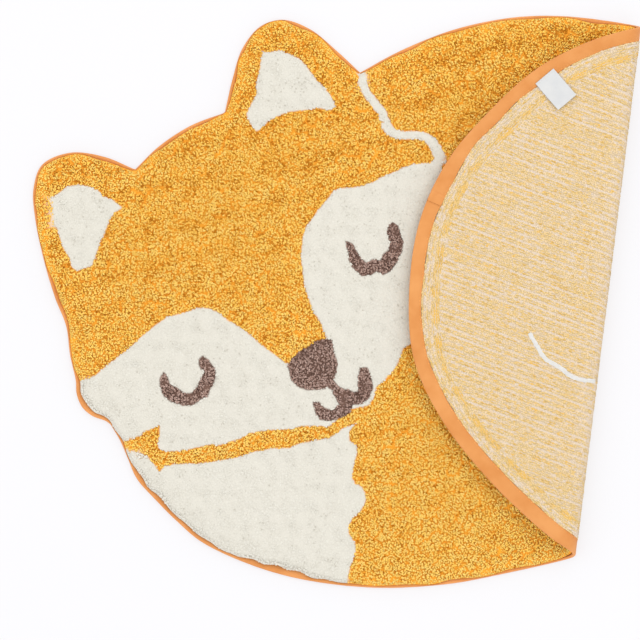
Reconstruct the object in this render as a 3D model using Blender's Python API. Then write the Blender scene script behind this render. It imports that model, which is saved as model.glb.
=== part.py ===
"""A fox-shaped tufted cotton rug, lying pile up with its right-hand side folded over to the left.

The rug is laid out flat first, in the flat plane, where x runs to the right and y away from the
viewer. Every point of it has a depth as well, measured from the outer face of the backing into the
pile. fold() then carries flat points to their places in the folded rug.
"""

import math

import bmesh
import bpy
import numpy as np
from mathutils.geometry import delaunay_2d_cdt

MM = 0.001
GAP = 0.3 * MM  # between pieces that touch

# The cloth, from the outer face of its backing to the yarn ends
BACKING_THICKNESS = 2.0 * MM
PILE_DEPTH = 13.0 * MM
PILE_LUMP = 0.6 * MM
LUMP_LENGTHS = (17.0 * MM, 13.0 * MM)

# The binding: a tape on the back, turned up round the edge as a narrow rim
TAPE_WIDTH = 18.5 * MM
TAPE_THICKNESS = 1.4 * MM
RIM_WIDTH = 4.2 * MM
RIM_HEIGHT = 4.4 * MM
RIM_ROUNDING = 1.2 * MM
RIM_SLOPE = 0.4 * MM

# The sewn-in label, a loop of ribbon pressed flat
LABEL_WIDTH = 29.0 * MM
LABEL_LENGTH = 43.0 * MM
LABEL_THICKNESS = 1.0 * MM
LABEL_LIFT = 2.5 * MM
LABEL_SKEW = math.radians(6)
LABEL_OVER_TAPE = 5.5 * MM
LABEL_NEAR = np.array([529.0, 282.0]) * MM

# The fold: a line in the flat plane, the size of its bend, and how the flap settles beyond it
FOLD_POINT = np.array([358.1, 35.6]) * MM
FOLD_TILT = math.radians(7.05)
BEND_RADIUS = 18.0 * MM
FLAP_HEIGHT = 28.6 * MM
SETTLING_LENGTH = 120.0 * MM
FLAP_LIFT = 1.6 * MM
LIFT_LENGTHS = (66.0 * MM, 48.0 * MM)
LIFT_PHASE = 1.0

# The outline of the flat rug, the outer edge of its binding, clockwise in millimetres. Each run is
# a smooth curve through its points, and two runs meet in a notch.
OUTLINE_RUNS = {
    "back, haunch and tail": [
        (50, 309), (100, 336), (165, 362), (234, 377), (291, 380), (349, 375), (402, 365),
        (444, 346), (487, 318), (532, 276), (574, 213), (608, 144), (624, 65), (617, -20),
        (590, -106), (537, -172), (468, -226), (415, -258), (364, -283), (312, -298),
        (234, -316), (158, -330), (59, -334), (-52, -317), (-145, -279), (-178, -252),
        (-206, -224), (-229, -198), (-240, -173), (-250, -150), (-262, -130),
    ],
    "cheek, left side and left ear": [
        (-262, -130), (-268, -126), (-284, -120), (-297, -109), (-304, -92), (-305, -76),
        (-312, -45), (-317, -8), (-331, 28), (-345, 75), (-356, 128), (-358, 163), (-347, 194),
        (-312, 209), (-270, 204), (-231, 188),
    ],
    "crown": [(-231, 188), (-201, 217), (-161, 243), (-119, 259)],
    "right ear": [
        (-119, 259), (-109, 302), (-97, 339), (-74, 367), (-46, 375), (-12, 363), (20, 337),
        (50, 309),
    ],
}

# How finely the shapes are divided
CURVE_DIVISIONS = 24
OUTLINE_STEP = 1.0 * MM
STATION_STEP = 15.0 * MM
STATION_STEP_IN_BEND = 5.0 * MM
BEND_MARGIN = 7.0 * MM
STATION_TURN = math.radians(14)
EDGE_SMOOTHING = 11  # outline points averaged on each side for the direction of the edge
PILE_GRID = 23.0 * MM
BACK_GRID = 30.0 * MM
BEND_COLUMNS = 9
GRID_MARGIN = 9.0 * MM
LABEL_DIVISIONS = 6

ALONG = np.array([math.sin(FOLD_TILT), math.cos(FOLD_TILT)])
ACROSS = np.array([math.cos(FOLD_TILT), -math.sin(FOLD_TILT)])
BEND_LENGTH = math.pi * (BEND_RADIUS - BACKING_THICKNESS / 2)
FLAP_START = BEND_LENGTH - BEND_RADIUS

REBATE = TAPE_THICKNESS + GAP
EDGE_OF_PILE = RIM_WIDTH + GAP
EDGE_OF_REBATE = TAPE_WIDTH + GAP
REBATE_SLOPE = 1.0 * MM
# The edge of the tufted cloth, as (distance in from the outline, depth), round from the rebate for
# the tape, up the side of the pile and onto its top
UNDERSIDE_PROFILE = [
    (EDGE_OF_REBATE + REBATE_SLOPE, 0.0),
    (EDGE_OF_REBATE, REBATE),
    (EDGE_OF_PILE, REBATE),
]
PILE_PROFILE = [(4.5 * MM, 8.0 * MM), (7.0 * MM, 11.4 * MM), (13.0 * MM, PILE_DEPTH)]
TAPE_PROFILE = [
    (TAPE_WIDTH, 0.0),
    (TAPE_WIDTH, TAPE_THICKNESS),
    (RIM_WIDTH, TAPE_THICKNESS),
    (RIM_WIDTH, RIM_HEIGHT - RIM_SLOPE),
    (RIM_ROUNDING, RIM_HEIGHT),
    (0.0, RIM_HEIGHT - RIM_ROUNDING),
    (RIM_ROUNDING / 2, 0.0),
]


def clear_scene():
    for obj in list(bpy.data.objects):
        bpy.data.objects.remove(obj)


def smooth_run(points):
    """A centripetal Catmull-Rom curve through the points, as closely spaced points."""
    points = np.array(points, float) * MM
    ends = 2 * points[0] - points[1], 2 * points[-1] - points[-2]
    points = np.vstack([ends[0], points, ends[1]])
    knots = np.concatenate([[0], np.cumsum(np.linalg.norm(np.diff(points, axis=0), axis=1) ** 0.5)])
    slopes = np.diff(points, axis=0) / np.diff(knots)[:, None]
    curve = []
    for i in range(1, len(points) - 2):
        span = knots[i + 1] - knots[i]
        near = slopes[i - 1] + (slopes[i] - slopes[i - 1]) * (knots[i] - knots[i - 1]) / (
            knots[i + 1] - knots[i - 1]
        )
        far = slopes[i] + (slopes[i + 1] - slopes[i]) * span / (knots[i + 2] - knots[i])
        s = np.linspace(0, 1, CURVE_DIVISIONS, endpoint=False)[:, None]
        curve.append(
            (2 * s**3 - 3 * s**2 + 1) * points[i]
            + (s**3 - 2 * s**2 + s) * span * near
            + (3 * s**2 - 2 * s**3) * points[i + 1]
            + (s**3 - s**2) * span * far
        )
    return np.vstack(curve)


def closed_outline():
    """The outline as evenly spaced points, and the inward direction at each."""
    rough = np.vstack([smooth_run(run) for run in OUTLINE_RUNS.values()])
    ring = np.vstack([rough, rough[:1]])
    lengths = np.concatenate([[0], np.cumsum(np.linalg.norm(np.diff(ring, axis=0), axis=1))])
    places = np.linspace(0, lengths[-1], round(lengths[-1] / OUTLINE_STEP), endpoint=False)
    outline = np.stack([np.interp(places, lengths, ring[:, k]) for k in (0, 1)], axis=1)
    tangents = np.roll(outline, -1, axis=0) - np.roll(outline, 1, axis=0)
    inward = np.stack([tangents[:, 1], -tangents[:, 0]], axis=1)
    reach = range(-EDGE_SMOOTHING, EDGE_SMOOTHING + 1)
    inward = sum(np.roll(inward, shift, axis=0) for shift in reach)
    return outline, inward / np.linalg.norm(inward, axis=1)[:, None]


def edge_stations(outline, inward):
    """Where the edge is divided: closer together round the bend and where the outline turns."""
    across = (outline - FOLD_POINT) @ ACROSS
    in_bend = (across > -BEND_RADIUS - BEND_MARGIN) & (across < FLAP_START + BEND_MARGIN)
    steps = np.where(in_bend, STATION_STEP_IN_BEND, STATION_STEP)
    headings = np.unwrap(np.arctan2(inward[:, 1], inward[:, 0]))
    chosen = [0]
    for i in range(1, len(outline)):
        length = (i - chosen[-1]) * OUTLINE_STEP
        turn = abs(headings[i] - headings[chosen[-1]])
        if length >= steps[i] or turn >= STATION_TURN:
            chosen.append(i)
    return outline[chosen], inward[chosen]


def ease(value):
    value = np.clip(value, 0, 1)
    return value * value * (3 - 2 * value)


def flap_height(out, along):
    """The height of the backing on the flap, at a distance out from the bend."""
    settled = ease(out / SETTLING_LENGTH)
    wave = np.sin(along / LIFT_LENGTHS[0] + LIFT_PHASE) * np.cos(out / LIFT_LENGTHS[1])
    lift = FLAP_LIFT * (1 + wave) / 2
    return 2 * BEND_RADIUS + settled * (FLAP_HEIGHT - 2 * BEND_RADIUS + lift)


def fold(flat, depth):
    """The places in the folded rug of flat points at a depth."""
    flat = np.asarray(flat, float)
    depth = np.broadcast_to(depth, len(flat))
    across = (flat - FOLD_POINT) @ ACROSS
    along = (flat - FOLD_POINT) @ ALONG
    angle = np.clip((across + BEND_RADIUS) / BEND_LENGTH, 0, 1) * math.pi
    out = np.maximum(across - FLAP_START, 0)
    side = np.minimum(across, -BEND_RADIUS) + (BEND_RADIUS - depth) * np.sin(angle) - out
    height = np.where(
        out > 0,
        flap_height(out, along) - depth,
        BEND_RADIUS - (BEND_RADIUS - depth) * np.cos(angle),
    )
    place = FOLD_POINT + side[:, None] * ACROSS + along[:, None] * ALONG
    return np.column_stack([place, height])


def pile_depth(flat):
    """The lumpy top of the pile."""
    x, y = flat[:, 0], flat[:, 1]
    lumps = np.sin(x / LUMP_LENGTHS[0] + 0.7 * np.sin(y / LUMP_LENGTHS[1]))
    lumps = lumps * np.cos(y / LUMP_LENGTHS[0] - 0.5 * np.sin(x / LUMP_LENGTHS[1]))
    return PILE_DEPTH + PILE_LUMP * lumps


def inside(points, loop):
    """Which points lie inside the loop and clear of it by the grid's margin."""
    x, y = points[:, 0, None], points[:, 1, None]
    start, end = loop, np.roll(loop, -1, axis=0)
    above = start[:, 1] > y
    crossing = above != (end[:, 1] > y)
    rise = end[:, 1] - start[:, 1]
    rise = np.where(rise == 0, 1e-12, rise)
    right = x < (end[:, 0] - start[:, 0]) * (y - start[:, 1]) / rise + start[:, 0]
    within = (crossing & right).sum(axis=1) % 2 == 1
    distance = np.linalg.norm(points[:, None] - loop[None], axis=2).min(axis=1)
    return points[within & (distance > GRID_MARGIN)]


def grid(loop, pitch, from_across):
    """Points that fill the loop, in columns along the fold, close together in the bend."""
    across = (loop - FOLD_POINT) @ ACROSS
    along = (loop - FOLD_POINT) @ ALONG
    bend = np.linspace(-BEND_RADIUS, FLAP_START, BEND_COLUMNS + 1)
    columns = np.concatenate(
        [
            np.arange(-BEND_RADIUS - pitch / 2, max(across.min(), from_across), -pitch),
            bend,
            np.arange(FLAP_START + pitch / 2, across.max(), pitch),
        ]
    )
    rows = np.arange(along.min(), along.max(), pitch)
    points = []
    for number, column in enumerate(columns):
        shift = 0 if column in bend else (number % 2) * pitch / 2
        points.append(FOLD_POINT + column * ACROSS + (rows + shift)[:, None] * ALONG)
    return inside(np.vstack(points), loop)


class Shell:
    """The points and faces of one closed solid."""

    def __init__(self):
        self.places = []
        self.faces = []

    def add(self, places):
        first = len(self.places)
        self.places.extend(tuple(place) for place in places)
        return list(range(first, len(self.places)))

    def band(self, one, other, closed=True):
        """Faces between two rows of points."""
        for i in range(len(one) - (not closed)):
            j = (i + 1) % len(one)
            self.faces.append((one[i], one[j], other[j], other[i]))

    def fill(self, ring, ring_flat, filling_flat, depth_of):
        """Triangles that fill a ring, through the given points inside it."""
        filling = self.add(fold(filling_flat, depth_of(filling_flat)))
        corners = ring + filling
        flat = [tuple(point) for point in np.vstack([ring_flat, filling_flat])]
        _, _, faces, origins, _, _ = delaunay_2d_cdt(flat, [], [list(range(len(ring)))], 1, 1e-7)
        for face in faces:
            self.faces.append(tuple(corners[origins[vertex][0]] for vertex in face))

    def made(self, name, material):
        mesh = bpy.data.meshes.new(name)
        mesh.from_pydata(self.places, [], self.faces)
        shape = bmesh.new()
        shape.from_mesh(mesh)
        bmesh.ops.recalc_face_normals(shape, faces=shape.faces)
        bmesh.ops.triangulate(shape, faces=shape.faces)
        shape.to_mesh(mesh)
        shape.free()
        mesh.shade_smooth()
        mesh.set_sharp_from_angle(angle=math.radians(40))
        mesh.materials.append(material)
        obj = bpy.data.objects.new(name, mesh)
        bpy.context.scene.collection.objects.link(obj)
        return obj


def finish(name, colour, roughness):
    material = bpy.data.materials.new(name)
    material.use_nodes = True
    shader = material.node_tree.nodes["Principled BSDF"]
    shader.inputs["Base Color"].default_value = (*colour, 1)
    shader.inputs["Roughness"].default_value = roughness
    shader.inputs["Metallic"].default_value = 0
    return material


def tufted_rug(edge, inward):
    """The cloth itself: backing and pile as one folded slab."""
    shell = Shell()
    rings = []
    flats = []
    for distance, depth in UNDERSIDE_PROFILE + PILE_PROFILE:
        flat = edge + inward * distance
        rings.append(shell.add(fold(flat, depth if depth < PILE_DEPTH else pile_depth(flat))))
        flats.append(flat)
    for one, other in zip(rings, rings[1:]):
        shell.band(one, other)
    under_fold = grid(flats[0], BACK_GRID, -BEND_RADIUS)
    shell.fill(rings[0], flats[0], under_fold, lambda flat: 0.0)
    shell.fill(rings[-1], flats[-1], grid(flats[-1], PILE_GRID, -math.inf), pile_depth)
    return shell.made("rug", finish("cotton pile", (0.86, 0.43, 0.06), 0.95))


def binding_tape(edge, inward):
    """The tape round the whole edge, a closed ring of one section."""
    shell = Shell()
    rings = [shell.add(fold(edge + inward * distance, depth)) for distance, depth in TAPE_PROFILE]
    for one, other in zip(rings, rings[1:] + rings[:1]):
        shell.band(one, other)
    return shell.made("binding_tape", finish("cotton tape", (0.89, 0.36, 0.09), 0.85))


def sewn_label(outline, inward):
    """The label, sewn down over the tape's inner edge and lying on the back of the flap."""
    nearest = np.linalg.norm(outline - LABEL_NEAR, axis=1).argmin()
    heading = math.atan2(inward[nearest, 1], inward[nearest, 0]) - LABEL_SKEW
    length_way = np.array([math.cos(heading), math.sin(heading)])
    width_way = np.array([-length_way[1], length_way[0]])
    root = outline[nearest] + inward[nearest] * (TAPE_WIDTH - LABEL_OVER_TAPE)
    shell = Shell()
    rings = []
    for step in range(LABEL_DIVISIONS + 1):
        part = step / LABEL_DIVISIONS
        lift = GAP + LABEL_LIFT * part**3
        middle = root + length_way * LABEL_LENGTH * part
        sides = [middle + width_way * LABEL_WIDTH * side for side in (-0.5, 0.0, 0.5)]
        under = fold(sides, -lift)
        over = fold(sides[::-1], -lift - LABEL_THICKNESS)
        rings.append(shell.add(np.vstack([under, over])))
    for one, other in zip(rings, rings[1:]):
        shell.band(one, other)
    shell.faces.append(tuple(rings[0]))
    shell.faces.append(tuple(rings[-1]))
    return shell.made("sewn_label", finish("label ribbon", (0.85, 0.85, 0.84), 0.7))


def centre_on_floor(objects):
    """Moves the origin to the middle of the footprint, on the floor."""
    places = np.vstack([[vertex.co for vertex in obj.data.vertices] for obj in objects])
    low, high = places.min(axis=0), places.max(axis=0)
    shift = -np.array([(low[0] + high[0]) / 2, (low[1] + high[1]) / 2, low[2]])
    for obj in objects:
        for vertex in obj.data.vertices:
            vertex.co = [place + move for place, move in zip(vertex.co, shift)]


def main():
    clear_scene()
    outline, inward = closed_outline()
    edge, edge_inward = edge_stations(outline, inward)
    centre_on_floor(
        [
            tufted_rug(edge, edge_inward),
            binding_tape(edge, edge_inward),
            sewn_label(outline, inward),
        ]
    )


main()
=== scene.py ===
import math

import bmesh
import bpy
import numpy as np
from mathutils.geometry import delaunay_2d_cdt
from mathutils.kdtree import KDTree
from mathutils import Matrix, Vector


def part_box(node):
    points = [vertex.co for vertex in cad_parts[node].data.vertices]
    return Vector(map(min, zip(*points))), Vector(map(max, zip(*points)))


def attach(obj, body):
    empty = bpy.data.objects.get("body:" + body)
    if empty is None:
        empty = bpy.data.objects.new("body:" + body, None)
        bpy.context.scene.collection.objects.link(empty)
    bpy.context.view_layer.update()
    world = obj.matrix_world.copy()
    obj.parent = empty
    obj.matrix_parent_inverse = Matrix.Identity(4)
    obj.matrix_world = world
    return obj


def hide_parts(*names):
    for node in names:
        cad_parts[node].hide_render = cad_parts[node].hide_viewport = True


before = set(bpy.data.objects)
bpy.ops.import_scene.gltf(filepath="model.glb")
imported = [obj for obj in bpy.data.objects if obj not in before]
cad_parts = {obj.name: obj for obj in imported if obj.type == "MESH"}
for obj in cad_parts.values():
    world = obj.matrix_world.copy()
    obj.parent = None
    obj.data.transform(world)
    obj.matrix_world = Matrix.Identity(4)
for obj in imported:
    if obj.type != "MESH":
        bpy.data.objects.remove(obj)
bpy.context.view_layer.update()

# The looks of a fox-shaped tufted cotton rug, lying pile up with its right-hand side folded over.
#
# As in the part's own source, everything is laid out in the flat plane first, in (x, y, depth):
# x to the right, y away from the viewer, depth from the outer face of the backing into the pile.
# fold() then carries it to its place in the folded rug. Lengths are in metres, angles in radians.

MM = 0.001

# The cloth and its fold, as in the part's source
TAPE_WIDTH = 18.5 * MM
TAPE_THICKNESS = 1.4 * MM
RIM_HEIGHT = 4.4 * MM
BACKING_THICKNESS = 2.0 * MM
PILE_DEPTH = 13.0 * MM
FOLD_POINT = np.array([358.1, 35.6]) * MM
FOLD_TILT = math.radians(7.05)
BEND_RADIUS = 18.0 * MM
FLAP_HEIGHT = 28.6 * MM
SETTLING_LENGTH = 120.0 * MM
FLAP_LIFT = 1.6 * MM
LIFT_LENGTHS = (66.0 * MM, 48.0 * MM)
LIFT_PHASE = 1.0
BEND_LENGTH = math.pi * (BEND_RADIUS - BACKING_THICKNESS / 2)
FLAP_START = BEND_LENGTH - BEND_RADIUS
ALONG = np.array([math.sin(FOLD_TILT), math.cos(FOLD_TILT)])
ACROSS = np.array([math.cos(FOLD_TILT), -math.sin(FOLD_TILT)])

# The outline of the flat rug, clockwise in millimetres: smooth runs that meet in notches
OUTLINE_RUNS = {
    "back, haunch and tail": [
        (50, 309), (100, 336), (165, 362), (234, 377), (291, 380), (349, 375), (402, 365),
        (444, 346), (487, 318), (532, 276), (574, 213), (608, 144), (624, 65), (617, -20),
        (590, -106), (537, -172), (468, -226), (415, -258), (364, -283), (312, -298),
        (234, -316), (158, -330), (59, -334), (-52, -317), (-145, -279), (-178, -252),
        (-206, -224), (-229, -198), (-240, -173), (-250, -150), (-262, -130),
    ],
    "cheek, left side and left ear": [
        (-262, -130), (-268, -126), (-284, -120), (-297, -109), (-304, -92), (-305, -76),
        (-312, -45), (-317, -8), (-331, 28), (-345, 75), (-356, 128), (-358, 163), (-347, 194),
        (-312, 209), (-270, 204), (-231, 188),
    ],
    "crown": [(-231, 188), (-201, 217), (-161, 243), (-119, 259)],
    "right ear": [
        (-119, 259), (-109, 302), (-97, 339), (-74, 367), (-46, 375), (-12, 363), (20, 337),
        (50, 309),
    ],
}

# The coloured areas of the pile, in millimetres in the flat plane, each drawn over those before it
CREAM_AREAS = {
    "left ear": [
        (-334, 152), (-322, 161), (-316, 166), (-301, 169), (-287, 166), (-276, 161), (-270, 154),
        (-257, 149), (-246, 140), (-255, 134), (-261, 126), (-267, 111), (-275, 92), (-280, 77),
        (-284, 67), (-295, 64), (-302, 61), (-309, 65), (-312, 77), (-320, 90), (-325, 105),
        (-331, 122), (-332, 137),
    ],
    "right ear": [
        (-72, 334), (-62, 334), (-50, 336), (-37, 331), (-25, 325), (-15, 314), (-5, 300),
        (6, 289), (15, 277), (20, 265), (11, 261), (-2, 264), (-20, 261), (-40, 259), (-52, 254),
        (-65, 247), (-74, 237), (-80, 235), (-87, 245), (-92, 256), (-86, 269), (-80, 280),
        (-79, 297), (-75, 314),
    ],
    "right cheek": [
        (144, 201), (137, 196), (125, 195), (114, 194), (100, 188), (87, 182), (74, 177),
        (65, 171), (47, 166), (26, 164), (17, 161), (10, 152), (0, 140), (-11, 125), (-19, 114),
        (-22, 100), (-24, 80), (-21, 52), (-17, 34), (-10, 14), (-1, -1), (7, -19), (15, -60),
        (15, -100), (37, -111), (50, -109), (61, -106), (67, -96), (70, -84), (79, -76),
        (86, -69), (94, -60), (100, -47), (104, -35), (113, -30), (135, -8), (165, 40),
        (178, 95), (170, 160),
    ],
    "left cheek": [
        (-315, -80), (-300, -77), (-281, -70), (-266, -57), (-252, -46), (-237, -34), (-222, -20),
        (-206, -7), (-190, 4), (-170, 9), (-151, 15), (-140, 15), (-127, 10), (-114, -1),
        (-96, -11), (-80, -25), (-62, -39), (-41, -54), (15, -80), (30, -100), (37, -111),
        (12, -132), (-52, -147), (-114, -165), (-181, -172), (-215, -150), (-241, -158),
        (-290, -160), (-330, -120),
    ],
    "chest": [
        (46, -128), (36, -139), (37, -151), (46, -155), (46, -167), (42, -182), (40, -197),
        (44, -204), (52, -207), (57, -217), (57, -226), (50, -239), (41, -246), (36, -256),
        (36, -266), (44, -279), (45, -287), (40, -301), (36, -312), (34, -325), (34, -350),
        (-270, -350), (-270, -158), (-225, -158), (-180, -174), (-112, -168), (-42, -150),
        (2, -146),
    ],
}
ORANGE_AREAS = {
    "under the chin": [
        (-255, -150), (-242, -151), (-234, -149), (-225, -145), (-219, -139), (-210, -136),
        (-200, -131), (-200, -141), (-202, -151), (-202, -159), (-196, -164), (-185, -164),
        (-162, -161), (-137, -155), (-125, -156), (-100, -148), (-87, -141), (-62, -137),
        (-37, -136), (-22, -132), (0, -132), (11, -134), (19, -126), (31, -121), (40, -114),
        (56, -112), (45, -126), (32, -131), (22, -140), (10, -147), (-12, -151), (-27, -154),
        (-37, -159), (-62, -160), (-87, -165), (-100, -170), (-125, -175), (-156, -179),
        (-181, -179), (-194, -182), (-200, -189), (-206, -180), (-215, -169), (-226, -164),
        (-242, -162), (-255, -163),
    ],
}
BROWN_AREAS = {
    "nose": [
        (-40, -57), (-35, -47), (-26, -39), (-16, -34), (-7, -27), (2, -24), (14, -24),
        (17, -34), (19, -45), (22, -54), (20, -65), (17, -76), (6, -86), (-15, -87), (-27, -84),
        (-36, -74),
    ],
    "mouth": [
        (6, -82), (17, -74), (22, -82), (29, -86), (37, -87), (42, -90), (47, -89), (47, -72),
        (50, -59), (59, -59), (64, -71), (66, -85), (62, -96), (54, -104), (40, -106),
        (37, -115), (26, -122), (12, -126), (0, -124), (-6, -115), (-9, -102), (-1, -102),
        (6, -110), (16, -112), (24, -105), (19, -95), (14, -87),
    ],
    "left eye": [
        (-195, -64), (-200, -74), (-199, -84), (-194, -96), (-185, -102), (-171, -106),
        (-160, -107), (-149, -99), (-140, -96), (-136, -85), (-130, -72), (-130, -61),
        (-139, -50), (-146, -44), (-151, -49), (-151, -57), (-144, -64), (-150, -75),
        (-154, -85), (-160, -91), (-169, -91), (-179, -84), (-187, -80), (-190, -70),
    ],
    "right eye": [
        (32, 99), (34, 87), (36, 74), (41, 65), (51, 55), (60, 55), (71, 60), (79, 56),
        (89, 62), (96, 72), (102, 85), (104, 96), (100, 109), (97, 117), (90, 122), (84, 116),
        (84, 106), (87, 95), (85, 87), (79, 82), (75, 74), (66, 76), (59, 70), (51, 77),
        (45, 87), (40, 95),
    ],
}

# The cream line beside the head, and its half widths in millimetres at shares of its length
HEAD_LINE = [
    (52, 305), (54, 294), (57, 285), (64, 275), (70, 267), (77, 259), (80, 250), (87, 236),
    (96, 231), (106, 230), (119, 230), (130, 228), (139, 222), (146, 210), (150, 200),
]
HEAD_HALF_WIDTHS = ([0.0, 0.35, 0.5, 0.65, 0.8, 1.0], [4.8, 5.6, 6.3, 5.0, 5.6, 8.0])

# The colours of the yarn. Their borders waver by WAVER times a noise of at most WAVER_MOST
ORANGE, CREAM, BROWN = range(3)
WAVER = 0.7 * MM
WAVER_MOST = 1.3
WAVER_LENGTH = 4.0 * MM

# How finely things are divided
CURVE_DIVISIONS = 24
OUTLINE_STEP = 1.0 * MM
EDGE_SMOOTHING = 11
CHUNK = 2000
YARN_SIDES = 3
TONE_LEVELS = 12
MOST_TRIANGLES = 185000
SHARP_ANGLE = math.radians(60)
PATCH_SHARP_ANGLE = math.radians(50)

# The base that the yarn stands in. What goes by colour of yarn has orange, cream and brown in turn
BASE_DEPTH = 10.4 * MM
BASE_RISE = np.array([0.0, 2.3, 0.0]) * MM
BASE_EDGE = [
    (0.3, 5.0, 0.0), (-0.3, 4.6, 0.0), (0.2, 3.4, 0.35), (1.8, 1.8, 0.5), (4.2, 0.6, 0.72),
    (8.0, 0.0, 0.9),
]  # millimetres in from the rim and below the base's depth, and the share of the colour's rise
LOWEST_FEET = BASE_DEPTH - 4.5 * MM
LEAST_PILE = 1.5 * MM
PRESSED_RISE = 1.3 * MM
FLAP_SHADE = 18.0 * MM
BASE_PITCH = 8.0 * MM
BASE_RING_STEP = 5
BASE_GRID_INSET = TAPE_WIDTH + 6 * MM
BEND_PITCH = 3.0 * MM
EDGE_STEP = 2.5 * MM
EDGE_GAP = 1.35 * MM

# Where yarn ends stand. A jitter is a share of the pitch
YARN_PITCH = 2.38 * MM
ROOT_JITTER = 0.34
CREAM_SHARE = 0.8
NEAREST_ROOT = 1.5 * MM
ROOT_FROM_RIM = 0.9 * MM
SEEN_UNDER_FLAP = 24.0 * MM
SEEN_AT_EDGE = 22.0 * MM
SEEN_AT_FLAP_EDGE = 14.0 * MM

# The shape of a yarn end, from its root to its tip
YARN_RADIUS = 1.15 * MM
CREAM_THICKER = 1.2
YARN_FLATNESS = (0.75, 0.6, 0.75)
REACH_SHARES = np.array([0.0, 0.3, 1.0])
CURL_SHARES = np.array([0.0, 0.2, 1.0])
RADIUS_SHARES = np.array([0.8, 1.0, 0.72])
TIP_DROPS = np.array([0.0, 0.3, 0.7]) * MM
ROOT_DEPTH = 8.5 * MM
LEAST_FOOT = 2.0 * MM

# How yarn ends lie, and how high. The reach, the curl, the uneven tips and the drop of sunken ends
# are in millimetres
PILE_TOP = ([0.0, 4.5 * MM, 7.0 * MM, 13.0 * MM], [6.0 * MM, 8.4 * MM, 11.6 * MM, PILE_DEPTH])
YARN_REACH = (1.8, 3.8)
YARN_CURL = 0.7
UNEVEN_TIPS = 0.28
SUNKEN_DROP = 0.8
LUMP = 0.6 * MM
LUMP_LENGTH = 12.0 * MM
TUFT_PITCH = 11.0 * MM
TUFT_JITTER = 0.45
TUFT_CROWN = 0.75 * MM
MEAN_OPENNESS = 0.4
OPENNESS_VARIATION = 0.8
OPENNESS_LENGTH = 34.0 * MM
OPENNESS_RANGE = (0.05, 1.5)
CREAM_CALM = 0.3
LOOSE_INSIDE = 0.85
LOOSE_AT_EDGE = 0.5
EDGE_WAVE = 0.7 * MM
EDGE_WAVE_LENGTH = 8.0 * MM
EDGE_LEAN = 1.2
EDGE_LEAN_LENGTH = 9.0 * MM
TIP_FROM_RIM = 0.6 * MM
LEAST_ROOM = 0.2 * MM
TOWARD_EDGE = 0.3
FLAP_DROP = 0.8 * MM
SUNKEN_IN_CLUMPS = 0.1
SUNKEN_ANYWHERE = 0.012
PATCH_LENGTH = 24.0 * MM
CLUMP_LENGTH = 5.0 * MM

# The tone of yarn ends, from 0 for the darkest to 1
# Sunken ends take the darkest tone: painted shade
SUNKEN_SHADE_TONE = 0.02
MEAN_TONE = 0.5
TONE_CLOUDS = 0.13
TONE_CLOUD_LENGTH = 20.0 * MM
TONE_SPREAD = 0.24
# Painted light: ends at the edge, ends that stand high and ends towards the viewer are made lighter
PAINTED_LIGHT_AT_EDGE = 0.3
PAINTED_LIGHT_BY_RISE = 120
PAINTED_LIGHT_SLOPE = 0.4
PAINTED_LIGHT_SLOPE_MIDDLE = 0.08

# The rim of tape that shows outside the pile, with how much wider it is near some places
RIM_WIDTH = 3.6 * MM
RIM_VARIATION = 1.2 * MM
WIDE_RIM_SPOTS = {
    (-175, 231): 3.0, (-294, -106): 5.0, (-273, -122): 3.0, (-225, -198): 4.0, (-204, -224): 3.0,
    (-165, -263): 1.5, (-258, -135): -2.5, (-306, -82): 2.5, (-141, -280): 3.0, (-112, -296): 1.0,
    (-85, -307): 5.0, (-57, -316): 6.5, (-28, -322): 6.0, (3, -327): 3.5,
    (-52, 374): -2.5, (-85, 355): -2.0, (-105, 320): -1.5,
    (162, -326): 1.5, (337, 372): 1.5, (-281, 202): 2.0, (-240, -172): -2.0, (-350, 110): -1.5,
}
WIDE_RIM_LENGTH = 24.0 * MM
NARROWEST_RIM = 1.6 * MM

# The tape's shape, the rows of its section that are the rim, its stitches, and where its ends meet
TAPE_STEP = 3
PUCKER = 0.35 * MM
RIM_ROWS = (4, 11)
TAPE_STITCH_PITCH = 4.0 * MM
TAPE_STITCH_INSET = 1.9 * MM
THREAD_FLATNESS = 0.8
JOIN_NEAR = np.array([622.9, 87.7]) * MM
JOIN_LENGTH = 14.0 * MM
JOIN_THICKNESS = 0.7 * MM

# Where the tape on the back is narrower or wider than it is elsewhere
TAPE_WIDTH_SPOTS = {
    (432, 352): -2.0, (476, 327): -1.5, (560, 240): -2.2, (592, 178): -3.0, (612, 122): 1.0,
    (621, 35): -1.5, (614, -36): -3.0, (598, -88): -1.5, (455, -245): 1.0, (400, -268): 1.0,
}
TAPE_SPOT_LENGTH = 55.0 * MM

# The rows of stitches on the back: in threes, one of them pale
ROW_TILT = math.radians(7)
ROW_PITCH = 2.58 * MM
ROWS_MIDDLE = 100 * MM
ROWS_SPAN = 520 * MM
ROW_TONE = 0.58
PALE_ROW_TONE = 0.56
PALE_STRENGTH = (0.12, 0.52)
STITCH_LENGTH = 4.2 * MM
STITCH_OVERLAP = 0.56
STITCH_RADIUS = 1.5 * MM
STITCH_FLATNESS = 0.28
STITCH_BOW = np.array([0.05, 0.25, 0.05]) * MM
STITCH_WANDER = 0.35 * MM
STITCH_UNEVENNESS = 0.4 * MM
EDGE_ROWS = {
    19.7: 0.5, 22.2: 0.24, 24.7: 0.5, 27.3: 0.3, 29.9: 0.6, 32.3: 0.78, 34.8: 0.84, 37.2: 0.66
}  # millimetres in from the outline, and tone
FIRST_INNER_ROW = 38.5 * MM
FIRST_STITCH_IN_BEND = -12.7 * MM
BEND_REACH = 30 * MM

# The white line of stitches, and its rows in millimetres beside the line
HAUNCH_LINE = [(459, -41), (446, -54), (432, -67), (412, -73), (397, -80), (381, -81), (363, -78)]
HAUNCH_ROWS = (-1.3, 1.3, 0.0)
HAUNCH_STITCHES = 32
HAUNCH_STITCH_HALF = 3.2 * MM
HAUNCH_LIFT = 0.5 * MM

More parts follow.
